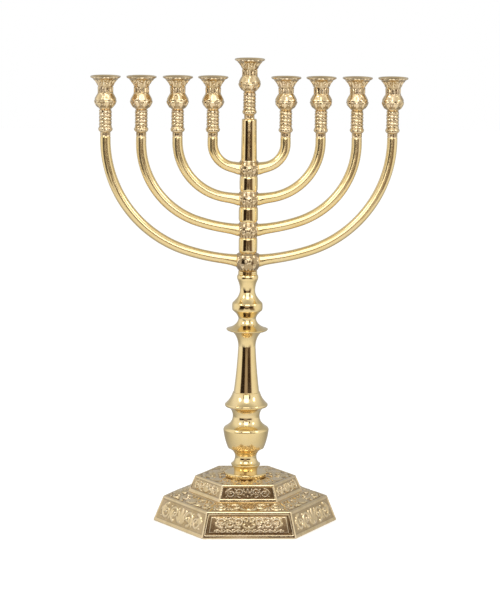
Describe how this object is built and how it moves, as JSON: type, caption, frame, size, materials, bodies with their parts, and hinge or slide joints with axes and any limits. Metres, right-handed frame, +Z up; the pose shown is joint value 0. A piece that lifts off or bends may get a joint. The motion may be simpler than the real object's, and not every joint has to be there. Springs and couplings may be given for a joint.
{
  "type": "menorah",
  "caption": "Brass menorah with nested U-shaped branches, a raised centre light, a turned stem on a tie rod and a stepped hexagonal base.",
  "frame": {"origin": "centre of the base's underside, on the surface it stands on", "axes": "+Z up along the stem; branches along X; a flat side of the base faces -Y"},
  "size_m": [0.256, 0.131, 0.38],
  "materials": {
    "cast_brass": "cast relief, rubbed back and lacquered, darker in the hollows",
    "polished_brass": "polished and lacquered",
    "plated_steel": "zinc plated"
  },
  "bodies": {
    "stand": {"base": "cast_brass", "clamp_washer": "plated_steel", "clamp_nut": "plated_steel", "tie_rod": "plated_steel", "foot_disc": "polished_brass", "lower_knop": "polished_brass", "column": "polished_brass", "upper_knop": "polished_brass", "spacer_3": "polished_brass", "spacer_2": "polished_brass", "spacer_1": "polished_brass", "post": "polished_brass"},
    "branch_1": {"arm_1": "polished_brass"},
    "branch_2": {"arm_2": "polished_brass"},
    "branch_3": {"arm_3": "polished_brass"},
    "branch_4": {"arm_4": "polished_brass"},
    "screw_centre": {"stud_centre": "polished_brass"},
    "light_centre": {"cup_centre": "cast_brass"},
    "screw_left_1": {"stud_left_1": "polished_brass"},
    "light_left_1": {"cup_left_1": "cast_brass"},
    "screw_left_2": {"stud_left_2": "polished_brass"},
    "light_left_2": {"cup_left_2": "cast_brass"},
    "screw_left_3": {"stud_left_3": "polished_brass"},
    "light_left_3": {"cup_left_3": "cast_brass"},
    "screw_left_4": {"stud_left_4": "polished_brass"},
    "light_left_4": {"cup_left_4": "cast_brass"},
    "screw_right_1": {"stud_right_1": "polished_brass"},
    "light_right_1": {"cup_right_1": "cast_brass"},
    "screw_right_2": {"stud_right_2": "polished_brass"},
    "light_right_2": {"cup_right_2": "cast_brass"},
    "screw_right_3": {"stud_right_3": "polished_brass"},
    "light_right_3": {"cup_right_3": "cast_brass"},
    "screw_right_4": {"stud_right_4": "polished_brass"},
    "light_right_4": {"cup_right_4": "cast_brass"}
  },
  "joints": [
    {"name": "branch_1_swivel", "type": "hinge", "parent": "stand", "child": "branch_1", "pos_m": [0, 0, 0.2917], "axis": [0, 0, 1], "continuous": true},
    {"name": "branch_2_swivel", "type": "hinge", "parent": "stand", "child": "branch_2", "pos_m": [0, 0, 0.2667], "axis": [0, 0, 1], "continuous": true},
    {"name": "branch_3_swivel", "type": "hinge", "parent": "stand", "child": "branch_3", "pos_m": [0, 0, 0.2417], "axis": [0, 0, 1], "continuous": true},
    {"name": "branch_4_swivel", "type": "hinge", "parent": "stand", "child": "branch_4", "pos_m": [0, 0, 0.2167], "axis": [0, 0, 1], "continuous": true},
    {"name": "cup_centre_rise", "type": "slide", "parent": "stand", "child": "screw_centre", "axis": [0, 0, 1], "range_m": [0, 0.0056]},
    {"name": "cup_centre_unscrew", "type": "hinge", "parent": "screw_centre", "child": "light_centre", "pos_m": [0, 0, 0.3315], "axis": [0, 0, 1], "range_deg": [0, 2520]},
    {"name": "cup_left_1_rise", "type": "slide", "parent": "branch_1", "child": "screw_left_1", "axis": [0, 0, 1], "range_m": [0, 0.0056]},
    {"name": "cup_left_1_unscrew", "type": "hinge", "parent": "screw_left_1", "child": "light_left_1", "pos_m": [-0.0294, 0, 0.317], "axis": [0, 0, 1], "range_deg": [0, 2520]},
    {"name": "cup_left_2_rise", "type": "slide", "parent": "branch_2", "child": "screw_left_2", "axis": [0, 0, 1], "range_m": [0, 0.0056]},
    {"name": "cup_left_2_unscrew", "type": "hinge", "parent": "screw_left_2", "child": "light_left_2", "pos_m": [-0.0578, 0, 0.317], "axis": [0, 0, 1], "range_deg": [0, 2520]},
    {"name": "cup_left_3_rise", "type": "slide", "parent": "branch_3", "child": "screw_left_3", "axis": [0, 0, 1], "range_m": [0, 0.0056]},
    {"name": "cup_left_3_unscrew", "type": "hinge", "parent": "screw_left_3", "child": "light_left_3", "pos_m": [-0.087, 0, 0.317], "axis": [0, 0, 1], "range_deg": [0, 2520]},
    {"name": "cup_left_4_rise", "type": "slide", "parent": "branch_4", "child": "screw_left_4", "axis": [0, 0, 1], "range_m": [0, 0.0056]},
    {"name": "cup_left_4_unscrew", "type": "hinge", "parent": "screw_left_4", "child": "light_left_4", "pos_m": [-0.1158, 0, 0.317], "axis": [0, 0, 1], "range_deg": [0, 2520]},
    {"name": "cup_right_1_rise", "type": "slide", "parent": "branch_1", "child": "screw_right_1", "axis": [0, 0, 1], "range_m": [0, 0.0056]},
    {"name": "cup_right_1_unscrew", "type": "hinge", "parent": "screw_right_1", "child": "light_right_1", "pos_m": [0.0294, 0, 0.317], "axis": [0, 0, 1], "range_deg": [0, 2520]},
    {"name": "cup_right_2_rise", "type": "slide", "parent": "branch_2", "child": "screw_right_2", "axis": [0, 0, 1], "range_m": [0, 0.0056]},
    {"name": "cup_right_2_unscrew", "type": "hinge", "parent": "screw_right_2", "child": "light_right_2", "pos_m": [0.0578, 0, 0.317], "axis": [0, 0, 1], "range_deg": [0, 2520]},
    {"name": "cup_right_3_rise", "type": "slide", "parent": "branch_3", "child": "screw_right_3", "axis": [0, 0, 1], "range_m": [0, 0.0056]},
    {"name": "cup_right_3_unscrew", "type": "hinge", "parent": "screw_right_3", "child": "light_right_3", "pos_m": [0.087, 0, 0.317], "axis": [0, 0, 1], "range_deg": [0, 2520]},
    {"name": "cup_right_4_rise", "type": "slide", "parent": "branch_4", "child": "screw_right_4", "axis": [0, 0, 1], "range_m": [0, 0.0056]},
    {"name": "cup_right_4_unscrew", "type": "hinge", "parent": "screw_right_4", "child": "light_right_4", "pos_m": [0.1158, 0, 0.317], "axis": [0, 0, 1], "range_deg": [0, 2520]}
  ],
  "couplings": [
    {"joint": "cup_centre_unscrew", "follows": "cup_centre_rise", "rad_per_m": 7854},
    {"joint": "cup_left_1_unscrew", "follows": "cup_left_1_rise", "rad_per_m": 7854},
    {"joint": "cup_left_2_unscrew", "follows": "cup_left_2_rise", "rad_per_m": 7854},
    {"joint": "cup_left_3_unscrew", "follows": "cup_left_3_rise", "rad_per_m": 7854},
    {"joint": "cup_left_4_unscrew", "follows": "cup_left_4_rise", "rad_per_m": 7854},
    {"joint": "cup_right_1_unscrew", "follows": "cup_right_1_rise", "rad_per_m": 7854},
    {"joint": "cup_right_2_unscrew", "follows": "cup_right_2_rise", "rad_per_m": 7854},
    {"joint": "cup_right_3_unscrew", "follows": "cup_right_3_rise", "rad_per_m": 7854},
    {"joint": "cup_right_4_unscrew", "follows": "cup_right_4_rise", "rad_per_m": 7854}
  ]
}
